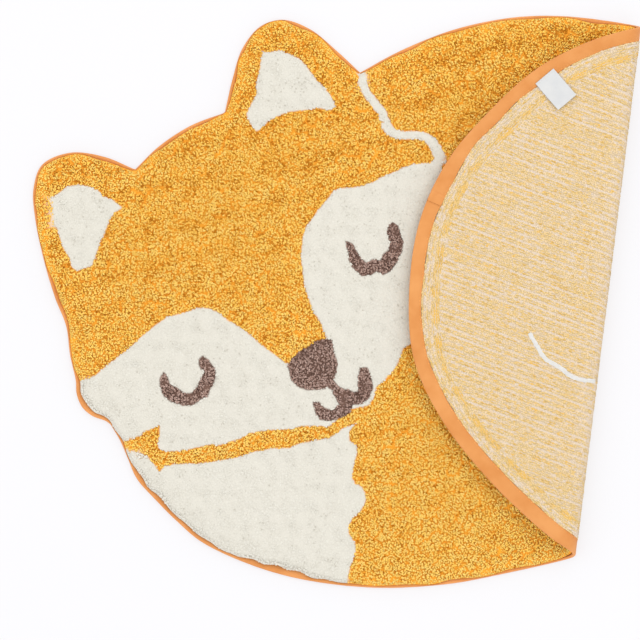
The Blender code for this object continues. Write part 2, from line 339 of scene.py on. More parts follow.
# The label
LABEL_WIDTH = 29.0 * MM
LABEL_LENGTH = 43.0 * MM
LABEL_LIFT = 2.5 * MM
LABEL_LOOP = 0.55 * MM
LABEL_SKEW = math.radians(6)
LABEL_OVER_TAPE = 5.5 * MM
LABEL_NEAR = np.array([529.0, 282.0]) * MM

# The widths of fine weaves
WEAVE_PITCH = 1.6 * MM
TWILL_PITCH = 1.1 * MM
RIBBON_PITCH = 0.7 * MM

# The floor and the light
FLOOR_WIDTH = 12.0
FLOOR_HEIGHT = -0.4 * MM
FLOOR_COLOUR = (0.27, 0.268, 0.276, 1)
FLOOR_GLOW = (0.985, 0.98, 1, 1)
FLOOR_GLOW_STRENGTH = 0.6
SKY_LIGHT = 1.33
LAMP_PLACE = (0.9, 1.0, 2.4)
LAMP_SIZE = 2.5
LAMP_POWER = 15

# The photograph's view: straight down on the middle of the flat plane
CAMERA_HEIGHT = 3.0
SEEN_WIDTH = 0.8
SENSOR_WIDTH = 36.0


# ---- the flat plane ----


def unit(ways):
    """The same directions with a length of one."""
    return ways / np.linalg.norm(ways, axis=-1, keepdims=True)


def turned_left(ways):
    """Flat directions turned left by a right angle."""
    return np.stack([-ways[..., 1], ways[..., 0]], axis=-1)


def smooth_run(points):
    """A smooth curve through the points, as closely spaced points."""
    points = np.array(points, float) * MM
    ends = 2 * points[0] - points[1], 2 * points[-1] - points[-2]
    points = np.vstack([ends[0], points, ends[1]])
    knots = np.concatenate([[0], np.cumsum(np.linalg.norm(np.diff(points, axis=0), axis=1) ** 0.5)])
    slopes = np.diff(points, axis=0) / np.diff(knots)[:, None]
    curve = []
    for i in range(1, len(points) - 2):
        span = knots[i + 1] - knots[i]
        near = slopes[i - 1] + (slopes[i] - slopes[i - 1]) * (knots[i] - knots[i - 1]) / (
            knots[i + 1] - knots[i - 1]
        )
        far = slopes[i] + (slopes[i + 1] - slopes[i]) * span / (knots[i + 2] - knots[i])
        s = np.linspace(0, 1, CURVE_DIVISIONS, endpoint=False)[:, None]
        curve.append(
            (2 * s**3 - 3 * s**2 + 1) * points[i]
            + (s**3 - 2 * s**2 + s) * span * near
            + (3 * s**2 - 2 * s**3) * points[i + 1]
            + (s**3 - s**2) * span * far
        )
    return np.vstack(curve)


def spaced(path, step, closed=False):
    """Evenly spaced points along a path of straight lines."""
    lengths = np.concatenate([[0], np.cumsum(np.linalg.norm(np.diff(path, axis=0), axis=1))])
    if closed:
        places = np.linspace(0, lengths[-1], round(lengths[-1] / step), endpoint=False)
    else:
        places = np.arange(0, lengths[-1], step)
    return np.stack([np.interp(places, lengths, path[:, k]) for k in (0, 1)], axis=1)


def closed_outline():
    """The outline as evenly spaced points, and the inward direction at each."""
    rough = np.vstack([smooth_run(run) for run in OUTLINE_RUNS.values()])
    outline = spaced(np.vstack([rough, rough[:1]]), OUTLINE_STEP, closed=True)
    inward = -turned_left(np.roll(outline, -1, axis=0) - np.roll(outline, 1, axis=0))
    reach = range(-EDGE_SMOOTHING, EDGE_SMOOTHING + 1)
    return outline, unit(sum(np.roll(inward, shift, axis=0) for shift in reach))


def ease(value):
    """A smooth step from 0 to 1."""
    value = np.clip(value, 0, 1)
    return value * value * (3 - 2 * value)


def flap_height(out, along):
    """The height of the backing on the flap, at a distance out from the bend."""
    settled = ease(out / SETTLING_LENGTH)
    wave = np.sin(along / LIFT_LENGTHS[0] + LIFT_PHASE) * np.cos(out / LIFT_LENGTHS[1])
    lift = FLAP_LIFT * (1 + wave) / 2
    return 2 * BEND_RADIUS + settled * (FLAP_HEIGHT - 2 * BEND_RADIUS + lift)


def across_fold(points):
    """How far flat points lie beyond the fold's middle line."""
    return (points - FOLD_POINT) @ ACROSS


def fold(flat, depth):
    """The places in the folded rug of flat points at a depth."""
    flat = np.asarray(flat, float)
    depth = np.broadcast_to(depth, len(flat))
    across = across_fold(flat)
    along = (flat - FOLD_POINT) @ ALONG
    angle = np.clip((across + BEND_RADIUS) / BEND_LENGTH, 0, 1) * math.pi
    out = np.maximum(across - FLAP_START, 0)
    side = np.minimum(across, -BEND_RADIUS) + (BEND_RADIUS - depth) * np.sin(angle) - out
    height = np.where(
        out > 0,
        flap_height(out, along) - depth,
        BEND_RADIUS - (BEND_RADIUS - depth) * np.cos(angle),
    )
    place = FOLD_POINT + side[:, None] * ACROSS + along[:, None] * ALONG
    return np.column_stack([place, height])


def ripple(points, length, seed, waves=7):
    """Smooth noise, mostly between -1 and 1, with features about a length across."""
    rng = np.random.default_rng(seed)
    total = np.zeros(len(points))
    for _ in range(waves):
        heading, phase = rng.uniform(0, 2 * math.pi, 2)
        wave = 2 * math.pi / (length * rng.uniform(1.2, 2.6))
        way = np.array([math.cos(heading), math.sin(heading)])
        total += np.sin(points @ way * wave + phase)
    return total / math.sqrt(waves)


def within(points, loop):
    """Which points lie inside the loop."""
    found = np.zeros(len(points), bool)
    start, end = loop, np.roll(loop, -1, axis=0)
    rise = end[:, 1] - start[:, 1]
    rise = np.where(rise == 0, 1e-12, rise)
    for first in range(0, len(points), CHUNK):
        x, y = points[first : first + CHUNK, 0, None], points[first : first + CHUNK, 1, None]
        crossing = (start[:, 1] > y) != (end[:, 1] > y)
        right = x < (end[:, 0] - start[:, 0]) * (y - start[:, 1]) / rise + start[:, 0]
        found[first : first + CHUNK] = (crossing & right).sum(axis=1) % 2 == 1
    return found


def nearest(points, targets):
    """For each point, the nearest target and its distance."""
    tree = KDTree(len(targets))
    for number, (x, y) in enumerate(targets):
        tree.insert((x, y, 0), number)
    tree.balance()
    index = np.array([tree.find((x, y, 0))[1] for x, y in points], int)
    return index, np.linalg.norm(points - targets[index], axis=1)


def head_line():
    """The cream line beside the head as close points, and its half width at each."""
    path = smooth_run(HEAD_LINE)
    return path, np.interp(np.linspace(0, 1, len(path)), *HEAD_HALF_WIDTHS) * MM


def colour_at(points):
    """The colour of the yarn at flat points. Its borders waver a little."""
    waver = [ripple(points, WAVER_LENGTH, seed).clip(-WAVER_MOST, WAVER_MOST) for seed in (21, 22)]
    points = points + WAVER * np.stack(waver, axis=1)
    colour = np.full(len(points), ORANGE)
    for areas, yarn in ((CREAM_AREAS, CREAM), (ORANGE_AREAS, ORANGE), (BROWN_AREAS, BROWN)):
        for area in areas.values():
            colour[within(points, np.array(area) * MM)] = yarn
    path, half_widths = head_line()
    index, distance = nearest(points, path)
    colour[distance < half_widths[index]] = CREAM
    return colour


OUTLINE, INWARD = closed_outline()


def edge_distance(points):
    """How far flat points lie in from the outline, negative outside, and the nearest place on it."""
    index, distance = nearest(points, OUTLINE)
    return np.where(within(points, OUTLINE[::3]), distance, -distance), index


def outline_place(point):
    """The number of the outline's point that is nearest to a flat point."""
    return np.linalg.norm(OUTLINE - point, axis=1).argmin()


def ring_headings(ring, index, reach):
    """The way along a closed ring of points, at some of them."""
    return unit(ring[(index + reach) % len(ring)] - ring[index - reach])


def in_from_flap_edge(points):
    """How far points of the lower layer lie in from the edge of the flap over them."""
    return edge_distance(points + (FLAP_START - 2 * across_fold(points))[:, None] * ACROSS)[0]


def near_spots(spots, length):
    """What the spots add at each point of the outline, fading out over a length."""
    total = np.zeros(len(OUTLINE))
    for spot, extra in spots.items():
        distance = np.linalg.norm(OUTLINE - np.array(spot) * MM, axis=1)
        total += extra * MM * ease(1 - distance / length)
    return total


RIM = RIM_WIDTH + RIM_VARIATION * ripple(OUTLINE, 30 * MM, seed=3)
RIM = np.maximum(RIM + near_spots(WIDE_RIM_SPOTS, WIDE_RIM_LENGTH), NARROWEST_RIM)
TAPE_INNER = TAPE_WIDTH + near_spots(TAPE_WIDTH_SPOTS, TAPE_SPOT_LENGTH)


def frame_shift():
    """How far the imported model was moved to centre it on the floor."""
    section = [(TAPE_WIDTH, 0.0), (0.0, RIM_HEIGHT), (0.0, 0.0)]
    places = np.vstack([fold(OUTLINE + INWARD * inset, depth) for inset, depth in section])
    low, high = (np.array(corner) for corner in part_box("binding_tape"))
    shift = (low + high) / 2 - (places.min(axis=0) + places.max(axis=0)) / 2
    shift[2] = 0
    return shift


SHIFT = frame_shift()


# ---- meshes ----


def linked(name, data):
    """A new object in the scene."""
    made = bpy.data.objects.new(name, data)
    bpy.context.scene.collection.objects.link(made)
    return made


def made_piece(name, places, faces, materials, maps=None, face_materials=None):
    """A piece from points in the folded rug and faces that are all of one number of corners."""
    faces = np.asarray(faces, np.int32)
    mesh = bpy.data.meshes.new(name)
    mesh.vertices.add(len(places))
    mesh.vertices.foreach_set("co", (places + SHIFT).astype(np.float32).ravel())
    mesh.loops.add(faces.size)
    mesh.loops.foreach_set("vertex_index", faces.ravel())
    mesh.polygons.add(len(faces))
    mesh.polygons.foreach_set("loop_start", np.arange(0, faces.size, faces.shape[1], dtype=np.int32))
    for material in materials:
        mesh.materials.append(material)
    if face_materials is not None:
        mesh.polygons.foreach_set("material_index", np.asarray(face_materials, np.int32))
    for map_name, corners in (maps or {}).items():
        layer = mesh.uv_layers.new(name=map_name, do_init=False)
        layer.uv.foreach_set("vector", np.asarray(corners, np.float32).ravel())
    mesh.update(calc_edges=True)
    mesh.validate()
    mesh.shade_smooth()
    piece = linked(name, mesh)
    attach(piece, "root")
    return piece


def outward_normals(piece):
    """Turn every face of a closed piece outwards."""
    mesh = bmesh.new()
    mesh.from_mesh(piece.data)
    bmesh.ops.recalc_face_normals(mesh, faces=mesh.faces)
    mesh.to_mesh(piece.data)
    mesh.free()


def around(rows, size):
    """For each face between closed rings of points: its row, its place in it and the next place."""
    row, place = np.divmod(np.arange(rows * size), size)
    return row, place, (place + 1) % size


def tube_template(stations):
    """The triangles of one tube, and the (turn, way along) at each of their corners."""
    faces, corners = [], []
    for station in range(stations - 1):
        for side in range(YARN_SIDES):
            low, high = station / (stations - 1), (station + 1) / (stations - 1)
            one, two = side / YARN_SIDES, (side + 1) / YARN_SIDES
            a = station * YARN_SIDES + side
            b = station * YARN_SIDES + (side + 1) % YARN_SIDES
            c, d = b + YARN_SIDES, a + YARN_SIDES
            faces += [(a, b, c), (a, c, d)]
            corners += [((one, low), (two, low), (two, high)), ((one, low), (two, high), (one, high))]
    last = (stations - 1) * YARN_SIDES
    faces += [(2, 1, 0), (last, last + 1, last + 2)]
    corners += [((1.0, 0.03), (0.5, 0.0), (0.0, 0.03)), ((0.0, 0.97), (1.0, 0.97), (0.5, 1.0))]
    return np.array(faces), np.array(corners)


def tube_pieces(name, flat, depth, sideways, radii, flatness, levels, material, sharp=False):
    """Short closed tubes along flat paths at depths, joined into one or more pieces.

    A tube has three sides. With sideways to the left of the path one corner points towards greater
    depth, and with sideways to the right towards less. The map has a column for each tone level: the
    turn round the tube goes across the column, and the way along the tube goes up it.
    """
    paths = np.concatenate([flat, depth[:, :, None]], axis=2)
    sideways = np.column_stack([sideways, np.zeros(len(sideways))])
    count, stations, _ = paths.shape
    forward = unit(np.gradient(paths, axis=1))
    side = sideways[:, None] - (sideways[:, None] * forward).sum(axis=2)[:, :, None] * forward
    side = unit(side)
    up = np.cross(forward, side) * flatness
    turn = np.arange(YARN_SIDES) / YARN_SIDES * 2 * math.pi + math.pi / 2
    rings = np.cos(turn)[:, None] * side[:, :, None] + np.sin(turn)[:, None] * up[:, :, None]
    points = (paths[:, :, None] + radii[:, :, None, None] * rings).reshape(-1, 3)
    places = fold(points[:, :2], points[:, 2])
    faces, corners = tube_template(stations)
    size = stations * YARN_SIDES
    most = MOST_TRIANGLES // len(faces)
    pieces = []
    for number, first in enumerate(range(0, count, most)):
        some = min(most, count - first)
        shifted = (faces[None] + np.arange(some)[:, None, None] * size).reshape(-1, 3)
        column = levels[first : first + some, None, None] + 0.05 + 0.9 * corners[None, :, :, 0]
        uv = np.stack([column / TONE_LEVELS, np.broadcast_to(corners[..., 1], column.shape)], axis=3)
        piece = made_piece(
            name if count <= most else f"{name}_{number + 1}",
            places[first * size : (first + some) * size],
            shifted, [material], maps={"yarn": uv, "OFBake": uv},
        )
        if sharp:
            piece.data.set_sharp_from_angle(angle=SHARP_ANGLE)
        pieces.append(piece)
    return pieces


def tone_levels(tones):
    """The column of the map for tones from 0 to 1."""
    return np.clip((tones * TONE_LEVELS).astype(int), 0, TONE_LEVELS - 1)


def thread_stitches(name, middles, heading, over, half, depths, radii, levels, material):
    """Stitches of thread, each a short bow along its heading. Depths and radii in millimetres."""
    count = len(middles)
    shares = np.array([-1.0, -0.4, 0.4, 1.0]) * half
    flat = middles[:, None] + np.broadcast_to(heading, (count, 2))[:, None] * shares[None, :, None]
    depth, radii = (np.broadcast_to(np.array(a) * MM, (count, 4)) for a in (depths, radii))
    over = np.broadcast_to(over, (count, 2))
    return tube_pieces(name, flat, depth, over, radii, THREAD_FLATNESS, levels, material)


def patch(name, corner_of, columns, rows, thickness, size, material, map_name):
    """A thin closed sheet. corner_of gives the flat points and depths of a grid at a lift from it."""
    u, v = (grid.ravel() for grid in np.meshgrid(np.linspace(0, 1, columns), np.linspace(0, 1, rows)))
    sides = [fold(*corner_of(u, v, lift)) for lift in (thickness / 2, -thickness / 2)]
    cell = np.arange(columns * rows).reshape(rows, columns)
    quads = np.stack([cell[:-1, :-1], cell[:-1, 1:], cell[1:, 1:], cell[1:, :-1]], axis=2).reshape(-1, 4)
    rim = np.concatenate([cell[0], cell[1:, -1], cell[-1, -2::-1], cell[-2:0:-1, 0]])
    after = np.roll(rim, -1)
    offset = columns * rows
    walls = np.stack([rim, rim + offset, after + offset, after], axis=1)
    faces = np.vstack([quads, quads[:, ::-1] + offset, walls])
    uv = np.tile(np.stack([u * size[0], v * size[1]], axis=1), (2, 1))
    piece = made_piece(name, np.vstack(sides), faces, [material], maps={map_name: uv[faces]})
    outward_normals(piece)
    piece.data.set_sharp_from_angle(angle=PATCH_SHARP_ANGLE)
    return piece


# ---- materials ----


def linear(red, green, blue):
    """A colour given in the usual 0 to 255 steps, as the renderer's linear numbers."""
    steps = [value / 255 for value in (red, green, blue)]
    return [v / 12.92 if v <= 0.04045 else ((v + 0.055) / 1.055) ** 2.4 for v in steps] + [1.0]


class Finish:
    """A material and short ways to add its nodes."""

    def __init__(self, name, roughness, sheen=0.0, gloss=0.2):
        self.material = bpy.data.materials.new(name)
        self.material.use_nodes = True
        self.tree = self.material.node_tree
        self.shader = self.tree.nodes["Principled BSDF"]
        self.set({"Roughness": roughness, "Specular IOR Level": gloss})
        self.set({"Sheen Weight": sheen, "Sheen Roughness": 0.6})

    def set(self, values):
        for socket, value in values.items():
            self.shader.inputs[socket].default_value = value

    def node(self, kind, inputs=None, **settings):
        node = self.tree.nodes.new(kind)
        for name, value in settings.items():
            setattr(node, name, value)
        for socket, value in (inputs or {}).items():
            if isinstance(value, bpy.types.NodeSocket):
                self.tree.links.new(value, node.inputs[socket])
            else:
                node.inputs[socket].default_value = value
        return node

    def math(self, operation, one, two=0.0):
        return self.node("ShaderNodeMath", {0: one, 1: two}, operation=operation).outputs[0]

    def wave(self, value, length=1.0):
        return self.math("SINE", self.math("MULTIPLY", value, 2 * math.pi / length))

    def ramp(self, factor, stops):
        """A blend of colours, each in 0 to 255 steps or as one share of white."""
        node = self.node("ShaderNodeValToRGB", {"Fac": factor})
        elements = node.color_ramp.elements
        while len(elements) < len(stops):
            elements.new(0.5)
        for element, (position, colour) in zip(elements, stops):
            element.position = position
            element.color = linear(*colour) if isinstance(colour, tuple) else (*(colour,) * 3, 1)
        return node.outputs["Color"]

    def mix(self, factor, one, two, blend="MIX"):
        inputs = {0: factor, 6: one, 7: two}
        return self.node("ShaderNodeMix", inputs, data_type="RGBA", blend_type=blend).outputs[2]

    def place(self):
        return self.node("ShaderNodeTexCoord").outputs["Object"]

    def map_axes(self, name):
        """A map's place, and its two directions."""
        uv = self.node("ShaderNodeUVMap", uv_map=name).outputs["UV"]
        split = self.node("ShaderNodeSeparateXYZ", {"Vector": uv})
        return uv, split.outputs["X"], split.outputs["Y"]

    def noise(self, vector, scale, detail=3.0):
        inputs = {"Vector": vector, "Scale": scale, "Detail": detail}
        return self.node("ShaderNodeTexNoise", inputs).outputs["Fac"]

    def colour(self, socket):
        self.tree.links.new(socket, self.shader.inputs["Base Color"])

    def bump(self, height, strength, distance):
        inputs = {"Height": height, "Strength": strength, "Distance": distance}
        node = self.node("ShaderNodeBump", inputs)
        self.tree.links.new(node.outputs["Normal"], self.shader.inputs["Normal"])


def yarn_finish(name, painted_root_shade, stops, root_shade_share=0.4, shade_between_plies=0.9, turns=5.0, grain=1.0):
    """Yarn whose tone comes from its column of the map, with painted shade towards the root and in the
    hollows between plies.
    """
    finish = Finish(name, roughness=1.0, gloss=0.05)
    _, x, rise = finish.map_axes("yarn")
    columns = finish.math("MULTIPLY", x, float(TONE_LEVELS))
    tone = finish.math("DIVIDE", finish.math("FLOOR", columns), TONE_LEVELS - 1.0)
    body = finish.ramp(tone, stops)
    # Painted shade: towards the root the colour goes over to the root's shade colour.
    lit = finish.ramp(rise, [(0.0, 0), (root_shade_share, 1)])
    turn = finish.math("FRACT", columns)
    twist = finish.math("ADD", finish.math("MULTIPLY", rise, turns), finish.math("MULTIPLY", turn, 2.0))
    plies = finish.wave(twist)
    ply_share = finish.math("MULTIPLY", finish.math("ADD", plies, 1.0), 0.5)
    # Painted shade in the hollows between the plies.
    ply_hollow_shade = finish.ramp(ply_share, [(0.0, shade_between_plies), (0.6, 1)])
    places = {"X": finish.math("MULTIPLY", columns, 2.0), "Y": finish.math("MULTIPLY", rise, 4.0)}
    spots = finish.noise(finish.node("ShaderNodeCombineXYZ", places).outputs[0], 1.0, 1.0)
    speckle = finish.ramp(spots, [(0.4, grain), (0.6, 1)])
    shade = finish.mix(1.0, ply_hollow_shade, speckle, blend="MULTIPLY")
    finish.colour(finish.mix(1.0, finish.mix(lit, linear(*painted_root_shade), body), shade, blend="MULTIPLY"))
    finish.bump(plies, 0.35, 0.3 * MM)
    return finish.material


def base_finish():
    """The feet of the tufts, coloured like the yarn over them, with painted shade: orange and brown feet
    sit at the darker end of their yarn's tones.
    """
    finish = Finish("tuft feet", roughness=1.0)
    dye_and_gap_shade = finish.node("ShaderNodeAttribute", attribute_name="dye_and_gap_shade").outputs["Color"]
    grain = finish.noise(finish.place(), 900.0)
    finish.colour(finish.mix(1.0, dye_and_gap_shade, finish.ramp(grain, [(0.3, 0.9), (0.6, 1)]), blend="MULTIPLY"))
    finish.bump(grain, 0.8, 1.0 * MM)
    return finish.material


def backing_finish():
    """Plain woven cotton, seen between the stitches."""
    finish = Finish("woven backing", roughness=0.95)
    uv, x, y = finish.map_axes("flat")
    weave = finish.math("MULTIPLY", finish.wave(x, WEAVE_PITCH), finish.wave(y, WEAVE_PITCH))
    stops = [(0.35, (202, 178, 146)), (0.5, (205, 190, 178)), (0.65, (206, 176, 132))]
    finish.colour(finish.ramp(finish.noise(uv, 160.0), stops))
    finish.bump(weave, 0.5, 0.3 * MM)
    return finish.material


def tape_finish(name, light, dark):
    """Orange cotton tape with a fine twill."""
    finish = Finish(name, roughness=0.85, sheen=0.1)
    _, x, y = finish.map_axes("tape")
    twill = finish.wave(finish.math("ADD", x, y), TWILL_PITCH)
    finish.colour(finish.ramp(finish.noise(finish.place(), 35.0), [(0.3, dark), (0.7, light)]))
    finish.bump(twill, 0.25, 0.15 * MM)
    return finish.material


def label_finish():
    """White woven satin ribbon."""
    finish = Finish("label ribbon", roughness=0.6, sheen=0.1)
    _, x, _ = finish.map_axes("ribbon")
    ribs = finish.wave(x, RIBBON_PITCH)
    stops = [(0.3, (189, 190, 191)), (0.7, (196, 196, 195))]
    finish.colour(finish.ramp(finish.noise(finish.place(), 60.0), stops))
    finish.bump(ribs, 0.15, 0.1 * MM)
    return finish.material


# The colours of the tuft feet: each yarn's colour, set darker and more saturated for orange and brown as
# painted shade in the gaps between tufts
DYES_AND_GAP_SHADE = np.array([linear(241, 166, 54), linear(209, 205, 194), linear(124, 96, 84)], np.float32)
# The first stop of each yarn's ramp is its darkest tone, which sunken ends take as painted shade
YARNS = [
    yarn_finish(
        "orange yarn", (252, 182, 64),
        [(0.0, (206, 130, 34)), (0.12, (249, 183, 70)), (0.5, (255, 205, 95)), (1.0, (255, 215, 116))],
        shade_between_plies=0.85,
    ),
    yarn_finish(
        "cream yarn", (210, 206, 195),
        [(0.0, (188, 183, 171)), (0.15, (209, 205, 194)), (1.0, (215, 212, 202))],
        shade_between_plies=0.97,
    ),
    yarn_finish(
        "brown yarn", (112, 84, 73),
        [(0.0, (114, 88, 78)), (0.5, (168, 137, 124)), (1.0, (190, 161, 149))],
        shade_between_plies=0.72,
    ),
]
WHITE_YARN = yarn_finish(
    "white yarn", (204, 202, 198), [(0.0, (202, 200, 197)), (1.0, (213, 211, 208))], 0.2, 0.94
)
STITCH_YARN = yarn_finish(
    "back stitches", (204, 172, 122),
    [(0.0, (228, 210, 189)), (0.35, (226, 200, 157)), (0.6, (224, 194, 136)), (1.0, (227, 185, 106))],
    root_shade_share=0.05, shade_between_plies=0.88, turns=2.2, grain=0.66,
)
TAPE = tape_finish("cotton tape", (209, 143, 82), (197, 127, 65))
# The rim's copy of the tape is painted lighter than the same tape on the back: painted light
LIT_RIM_TAPE = tape_finish("cotton tape on the rim, painted lighter", (220, 150, 88), (204, 132, 70))
RIBBON = label_finish()
# The darkest stop is reached only by the seam at the tape's join, as painted shade there
THREAD = yarn_finish(
    "orange thread", (214, 128, 52),
    [(0.0, (160, 84, 30)), (0.5, (228, 142, 66)), (1.0, (248, 176, 100))], root_shade_share=0.1,
)


# ---- the base ----


def filled(ring, inside):
    """Triangles that fill a ring of flat points through the points inside it."""
    points = [tuple(point) for point in np.vstack([ring, inside])]
    result = delaunay_2d_cdt(points, [], [list(range(len(ring)))], 1, 1e-7)
    faces, origins = result[2], result[3]
    return np.array([[origins[v][0] for v in face] for face in faces])


def grid_inside(ring):
    """Points that fill the ring, closer together across the bend."""
    across, along = across_fold(ring), (ring - FOLD_POINT) @ ALONG
    columns = np.concatenate([
        np.arange(-BEND_RADIUS - BASE_PITCH, across.min(), -BASE_PITCH),
        np.arange(-BEND_RADIUS, FLAP_START, BEND_PITCH),
        np.arange(FLAP_START, across.max(), BASE_PITCH),
    ])
    rows = np.arange(along.min(), along.max(), BASE_PITCH)
    a, b = (grid.ravel() for grid in np.meshgrid(columns, rows))
    points = FOLD_POINT + a[:, None] * ACROSS + b[:, None] * ALONG
    return points[edge_distance(points)[0] > BASE_GRID_INSET]


def beside_colour_edges():
    """Points close on both sides of where the yarn's colour changes."""
    sides = []
    for areas in (CREAM_AREAS, ORANGE_AREAS, BROWN_AREAS):
        for area in areas.values():
            sides.append((spaced(np.array(area + area[:1]) * MM, EDGE_STEP), EDGE_GAP))
    path, half_widths = head_line()
    for gap in (-EDGE_GAP, EDGE_GAP):
        sides.append((path[::6], (half_widths[::6] + gap)[:, None]))
    found = []
    for points, offset in sides:
        normal = unit(turned_left(np.gradient(points, axis=0)))
        found += [points + normal * offset, points - normal * offset]
    found = np.vstack(found)
    return found[edge_distance(found)[0] > BASE_GRID_INSET]


def base_cloth():
    """Backing and tuft feet as one folded slab, coloured like the yarn that stands in it, a little
    darker for orange and brown as painted shade in the gaps.
    """
    ring, inward, rim, tape = (a[::BASE_RING_STEP] for a in (OUTLINE, INWARD, RIM, TAPE_INNER))
    size = len(ring)
    rebate = TAPE_THICKNESS + 0.3 * MM
    insets = [tape + 0.7 * MM, tape + 0.3 * MM, rim + 0.3 * MM]
    insets += [rim + beyond * MM for beyond, _, _ in BASE_EDGE]
    flats = [ring + inward * inset[:, None] for inset in insets]
    depths = [np.full(size, depth) for depth in (0.0, rebate, rebate)]
    for (_, below, share), inset, flat in zip(BASE_EDGE, insets[3:], flats[3:]):
        depth = np.full(size, BASE_DEPTH - below * MM)
        if share:
            under_pile = np.interp(inset, *PILE_TOP) - LEAST_PILE
            depth = np.clip(under_pile, LOWEST_FEET, depth) + share * BASE_RISE[colour_at(flat)]
        depths.append(depth)
    row, place, after = around(len(insets) - 1, size)
    a, b = row * size + place, row * size + after
    faces = [np.stack([a, b + size, b, a, a + size, b + size], axis=1).reshape(-1, 3)]
    total = len(insets) * size
    for number in (0, len(insets) - 1):
        inside = grid_inside(flats[number])
        depth = np.zeros(len(inside))
        if number:
            inside = np.vstack([inside, beside_colour_edges()])
            pressed = ease(1 + in_from_flap_edge(inside) / FLAP_SHADE) * (across_fold(inside) < 0)
            depth = BASE_DEPTH + np.maximum(BASE_RISE[colour_at(inside)], PRESSED_RISE * pressed)
        corners = np.concatenate([np.arange(size) + number * size, total + np.arange(len(inside))])
        triangles = corners[filled(flats[number], inside)]
        faces.append(triangles if number else triangles[:, ::-1])
        flats.append(inside)
        depths.append(depth)
        total += len(inside)
    flat, depth, faces = np.vstack(flats), np.concatenate(depths), np.vstack(faces)
    piece = made_piece(
        "rug_cloth", fold(flat, depth), faces, [base_finish(), backing_finish()],
        maps={"flat": flat[faces]}, face_materials=(depth[faces] < BACKING_THICKNESS).all(axis=1),
    )
    layer = piece.data.color_attributes.new("dye_and_gap_shade", "FLOAT_COLOR", "POINT")
    layer.data.foreach_set("color", DYES_AND_GAP_SHADE[colour_at(flat)].ravel())
    outward_normals(piece)
    return piece


# ---- the pile ----


def scattered(pitch, rng, jitter):
    """Points on a loose triangular grid over the whole rug."""
    low, high = OUTLINE.min(axis=0), OUTLINE.max(axis=0)
    rows = np.arange(low[1], high[1], pitch * math.sqrt(3) / 2)
    x, y = np.meshgrid(np.arange(low[0], high[0], pitch), rows)
    x = x + (np.arange(len(rows)) % 2)[:, None] * pitch / 2
    points = np.stack([x.ravel(), y.ravel()], axis=1)
    return points + rng.uniform(-jitter, jitter, points.shape) * pitch


def seen_roots(rng):
    """Where yarn stands: all that shows from above, and the edges that show from the side."""
    roots = scattered(YARN_PITCH, rng, ROOT_JITTER)
    distance, index = edge_distance(roots)
    roots, distance, index = (a[distance > NEAREST_ROOT] for a in (roots, distance, index))
    across = across_fold(roots)
    under_flap = in_from_flap_edge(roots)
    lower = across < -BEND_RADIUS
    at_edge = distance < np.where(across > FLAP_START, SEEN_AT_FLAP_EDGE, SEEN_AT_EDGE)
    seen = lower & (under_flap < SEEN_UNDER_FLAP) | at_edge
    clear = distance > RIM[index] + ROOT_FROM_RIM
    cream = colour_at(roots) == CREAM
    thinned = cream & (rng.random(len(roots)) > CREAM_SHARE) & (distance > SEEN_AT_EDGE / 2)
    pressed = np.where(lower, ease(1 + under_flap / FLAP_SHADE), 0)
    keep = seen & clear & ~thinned
    return tuple(a[keep] for a in (roots, distance, index, lower, pressed))


def yarn_ways(roots, distance, index, rng):
    """How each yarn end lies: its way, how far it reaches, and how much higher it stands.

    Neighbouring ends lean together into tufts, which leaves crooked gaps between the tufts. At the
    edge they lean outwards, up to the rim.
    """
    count = len(roots)
    tufts = scattered(TUFT_PITCH, rng, TUFT_JITTER)
    tuft, from_middle = nearest(roots, tufts)
    to_middle = (tufts[tuft] - roots) / (TUFT_PITCH / 2)
    openness = MEAN_OPENNESS + OPENNESS_VARIATION * ripple(roots, OPENNESS_LENGTH, seed=5)
    openness = np.clip(openness, *OPENNESS_RANGE)
    openness = np.where(colour_at(roots) == CREAM, CREAM_CALM * openness, openness)
    turn = rng.uniform(0, 2 * math.pi, count)
    loose = np.stack([np.cos(turn), np.sin(turn)], axis=1)
    outward = -INWARD[index]
    from_rim = distance - RIM[index] + EDGE_WAVE * ripple(OUTLINE, EDGE_WAVE_LENGTH, seed=15)[index]
    at_edge = ease(1.25 - from_rim / EDGE_LEAN_LENGTH)
    way = (1 - at_edge)[:, None] * (openness[:, None] * to_middle + LOOSE_INSIDE * loose)
    way = unit(way + at_edge[:, None] * (EDGE_LEAN * outward + LOOSE_AT_EDGE * loose))
    reach = rng.uniform(*YARN_REACH, count) * MM
    toward_edge = (way * outward).sum(axis=1)
    room = np.maximum(from_rim - TIP_FROM_RIM, LEAST_ROOM) / np.maximum(toward_edge, TOWARD_EDGE)
    reach = np.where(toward_edge > TOWARD_EDGE, np.minimum(reach, room), reach)
    crown = (1 - (from_middle / (TUFT_PITCH * 0.6)) ** 2).clip(-1, 1)
    rise = TUFT_CROWN * openness * crown * (1 - at_edge) + rng.normal(0, UNEVEN_TIPS, count) * MM
    return way, reach, toward_edge, rise, at_edge


def sunken_ends(roots, pressed, rng):
    """Which single ends stand lower than those round them, and take the darkest tone as painted shade.
    """
    patches = ripple(roots, PATCH_LENGTH, seed=12).clip(-0.5, 1.5) + 0.7
    clumps = ripple(roots, CLUMP_LENGTH, seed=13).clip(0, 1.5)
    often = SUNKEN_IN_CLUMPS * patches * clumps + SUNKEN_ANYWHERE
    return rng.random(len(roots)) < often * (1 - pressed)


def yarn_tones(roots, rise, at_edge, sunken, rng):
    """The tone level of each yarn end, with painted light: lighter where it stands high, at the edge and
    towards the viewer.
    """
    tone = MEAN_TONE + TONE_CLOUDS * ripple(roots, TONE_CLOUD_LENGTH, seed=9)
    tone += rng.normal(0, TONE_SPREAD, len(roots))
    # Painted light at the edge, on high ends and towards the viewer
    tone += PAINTED_LIGHT_AT_EDGE * at_edge
    tone += PAINTED_LIGHT_BY_RISE * rise - PAINTED_LIGHT_SLOPE * (roots[:, 1] - PAINTED_LIGHT_SLOPE_MIDDLE)
    # Sunken ends take the darkest tone: painted shade.
    return tone_levels(np.where(sunken, SUNKEN_SHADE_TONE, tone))


